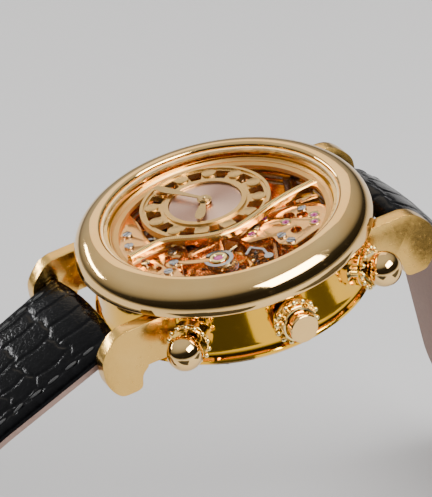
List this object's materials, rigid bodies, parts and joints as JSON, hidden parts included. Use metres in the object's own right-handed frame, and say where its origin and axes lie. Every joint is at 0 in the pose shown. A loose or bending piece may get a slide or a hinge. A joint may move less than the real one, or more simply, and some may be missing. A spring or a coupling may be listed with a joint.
{
  "type": "skeleton wristwatch",
  "caption": "Open-worked mechanical wristwatch with a domed round bezel, off-centre hour ring, ball pushers, crown and a two-piece leather strap with a pin buckle.",
  "frame": {"origin": "centre of the case back's outer face, on the case axis", "axes": "+Z out through the front crystal, +Y towards 12 o'clock, +X towards 3 o'clock"},
  "size_m": [0.042, 0.1742, 0.0611],
  "materials": {
    "yellow_gold": "polished 18-carat yellow gold",
    "satin_gold": "satin yellow gold",
    "dial_gold": "satin gilt",
    "rose_dial": "circular-brushed rose gilt",
    "rose_gold": "rose gilt with polished bevels",
    "steel": "polished steel",
    "wheel_brass": "gilt brass",
    "sapphire": "clear sapphire",
    "gasket": "rubber",
    "ruby": "ruby",
    "black_leather": "glossy black alligator-grain leather",
    "lining_leather": "brown calf lining"
  },
  "bodies": {
    "case": {"back_crystal": "sapphire", "back_gasket": "gasket", "balance_cock": "rose_gold", "barrel_bridge": "rose_gold", "bezel": "yellow_gold", "bridge_screws": "steel", "case_back_ring": "yellow_gold", "case_back_screws": "steel", "case_band": "yellow_gold", "centre_bridge": "rose_gold", "centre_disc": "rose_dial", "click_spring": "steel", "crown_tube": "yellow_gold", "crystal": "sapphire", "crystal_gasket": "gasket", "gongs": "steel", "hour_medallions": "dial_gold", "hour_ring": "dial_gold", "jewels": "ruby", "lugs": "yellow_gold", "main_plate": "rose_gold", "pallet_bridge": "rose_gold", "pusher_collars": "yellow_gold", "regulator": "steel", "rehaut": "satin_gold", "serpentine_bar": "dial_gold", "spring_bars": "yellow_gold", "train_bridge": "rose_gold"},
    "minute_arbor": {"centre_wheel": "wheel_brass", "cannon_pinion": "steel", "minute_hand": "dial_gold"},
    "hour_pipe": {"hour_wheel": "wheel_brass", "hour_hand": "dial_gold"},
    "minute_wheel_body": {"minute_wheel": "wheel_brass"},
    "third_wheel_body": {"third_wheel": "wheel_brass"},
    "fourth_wheel_body": {"fourth_wheel": "wheel_brass"},
    "barrel_body": {"barrel": "rose_gold", "mainspring": "steel"},
    "ratchet_body": {"ratchet_wheel": "steel"},
    "escape_body": {"escape_wheel": "steel"},
    "pallet_body": {"pallet_fork": "steel"},
    "balance_body": {"balance_wheel": "wheel_brass", "hairspring": "steel"},
    "clutch_body": {"clutch_wheel": "steel"},
    "crown_body": {"crown": "yellow_gold", "winding_stem": "steel"},
    "button_body": {"crown_button": "yellow_gold"},
    "pusher_upper_body": {"ball_pusher_upper": "yellow_gold"},
    "pusher_lower_body": {"ball_pusher_lower": "yellow_gold"},
    "hammer_high_body": {"hammer_high": "rose_gold"},
    "hammer_low_body": {"hammer_low": "rose_gold"},
    "short_strap": {"strap_12": "black_leather", "strap_12_lining": "lining_leather", "fixed_keeper": "black_leather"},
    "free_keeper_body": {"free_keeper": "black_leather"},
    "buckle_body": {"buckle_frame": "yellow_gold", "buckle_bar": "yellow_gold"},
    "tongue_body": {"buckle_tongue": "yellow_gold"},
    "long_strap": {"strap_6": "black_leather", "strap_6_lining": "lining_leather"}
  },
  "joints": [
    {"name": "minute_hand_spin", "type": "hinge", "parent": "case", "child": "minute_arbor", "pos_m": [0.00465, 0.00005, 0.008], "axis": [0, 0, 1], "continuous": true},
    {"name": "hour_hand_spin", "type": "hinge", "parent": "case", "child": "hour_pipe", "pos_m": [0.00465, 0.00005, 0.011], "axis": [0, 0, 1], "continuous": true},
    {"name": "minute_wheel_spin", "type": "hinge", "parent": "case", "child": "minute_wheel_body", "pos_m": [0.0061, 0.00256, 0.0105], "axis": [0, 0, 1], "continuous": true},
    {"name": "third_wheel_spin", "type": "hinge", "parent": "case", "child": "third_wheel_body", "pos_m": [0.0014, -0.003, 0.006], "axis": [0, 0, 1], "continuous": true},
    {"name": "fourth_wheel_spin", "type": "hinge", "parent": "case", "child": "fourth_wheel_body", "pos_m": [-0.00215, -0.00505, 0.006], "axis": [0, 0, 1], "continuous": true},
    {"name": "barrel_spin", "type": "hinge", "parent": "case", "child": "barrel_body", "pos_m": [0.00615, 0.00605, 0.006], "axis": [0, 0, 1], "continuous": true},
    {"name": "ratchet_spin", "type": "hinge", "parent": "case", "child": "ratchet_body", "pos_m": [0.00615, 0.00605, 0.006], "axis": [0, 0, 1], "continuous": true},
    {"name": "escape_wheel_spin", "type": "hinge", "parent": "case", "child": "escape_body", "pos_m": [-0.0046, -0.00205, 0.006], "axis": [0, 0, 1], "continuous": true},
    {"name": "pallet_rock", "type": "hinge", "parent": "case", "child": "pallet_body", "pos_m": [-0.0053, 0.0003, 0.006], "axis": [0, 0, 1], "range_deg": [-5, 5]},
    {"name": "balance_swing", "type": "hinge", "parent": "case", "child": "balance_body", "pos_m": [-0.007, 0.00405, 0.008], "axis": [0, 0, 1], "range_deg": [-135, 135]},
    {"name": "crown_turn", "type": "hinge", "parent": "case", "child": "clutch_body", "pos_m": [-0.0136, 0, 0.0052], "axis": [-1, 0, 0], "continuous": true},
    {"name": "crown_pull", "type": "slide", "parent": "clutch_body", "child": "crown_body", "axis": [-1, 0, 0], "range_m": [0, 0.0009]},
    {"name": "button_press", "type": "slide", "parent": "crown_body", "child": "button_body", "axis": [1, 0, 0], "range_m": [0, 0.0007], "stiffness_N_per_m": 400, "springref_m": -0.0004},
    {"name": "upper_pusher_press", "type": "slide", "parent": "case", "child": "pusher_upper_body", "axis": [0.749, -0.6626, 0], "range_m": [0, 0.001], "stiffness_N_per_m": 400, "springref_m": -0.0005},
    {"name": "lower_pusher_press", "type": "slide", "parent": "case", "child": "pusher_lower_body", "axis": [0.749, 0.6626, 0], "range_m": [0, 0.001], "stiffness_N_per_m": 400, "springref_m": -0.0005},
    {"name": "high_hammer_strike", "type": "hinge", "parent": "case", "child": "hammer_high_body", "pos_m": [0.0012, -0.0103, 0.0096], "axis": [0, 0, 1], "range_deg": [0, 8]},
    {"name": "low_hammer_strike", "type": "hinge", "parent": "case", "child": "hammer_low_body", "pos_m": [-0.0014, -0.0109, 0.0096], "axis": [0, 0, 1], "range_deg": [-8, 0]},
    {"name": "short_strap_swing", "type": "hinge", "parent": "case", "child": "short_strap", "pos_m": [0, 0.0215, 0.005], "axis": [-1, 0, 0], "range_deg": [0, 25]},
    {"name": "free_keeper_slide", "type": "slide", "parent": "short_strap", "child": "free_keeper_body", "axis": [0, -0.309, 0.9511], "range_m": [0, 0.005]},
    {"name": "buckle_swing", "type": "hinge", "parent": "short_strap", "child": "buckle_body", "pos_m": [0, 0.06603, -0.04635], "axis": [1, 0, 0], "range_deg": [0, 30]},
    {"name": "tongue_swing", "type": "hinge", "parent": "buckle_body", "child": "tongue_body", "pos_m": [0, 0.06603, -0.04635], "axis": [1, 0, 0], "range_deg": [0, 12]},
    {"name": "long_strap_swing", "type": "hinge", "parent": "case", "child": "long_strap", "pos_m": [0, -0.0215, 0.005], "axis": [1, 0, 0], "range_deg": [0, 20]}
  ],
  "couplings": [
    {"joint": "hour_hand_spin", "follows": "minute_hand_spin", "ratio": 0.083333},
    {"joint": "minute_wheel_spin", "follows": "minute_hand_spin", "ratio": -0.33333},
    {"joint": "third_wheel_spin", "follows": "minute_hand_spin", "ratio": -8},
    {"joint": "fourth_wheel_spin", "follows": "minute_hand_spin", "ratio": 60},
    {"joint": "barrel_spin", "follows": "minute_hand_spin", "ratio": -0.16667}
  ]
}
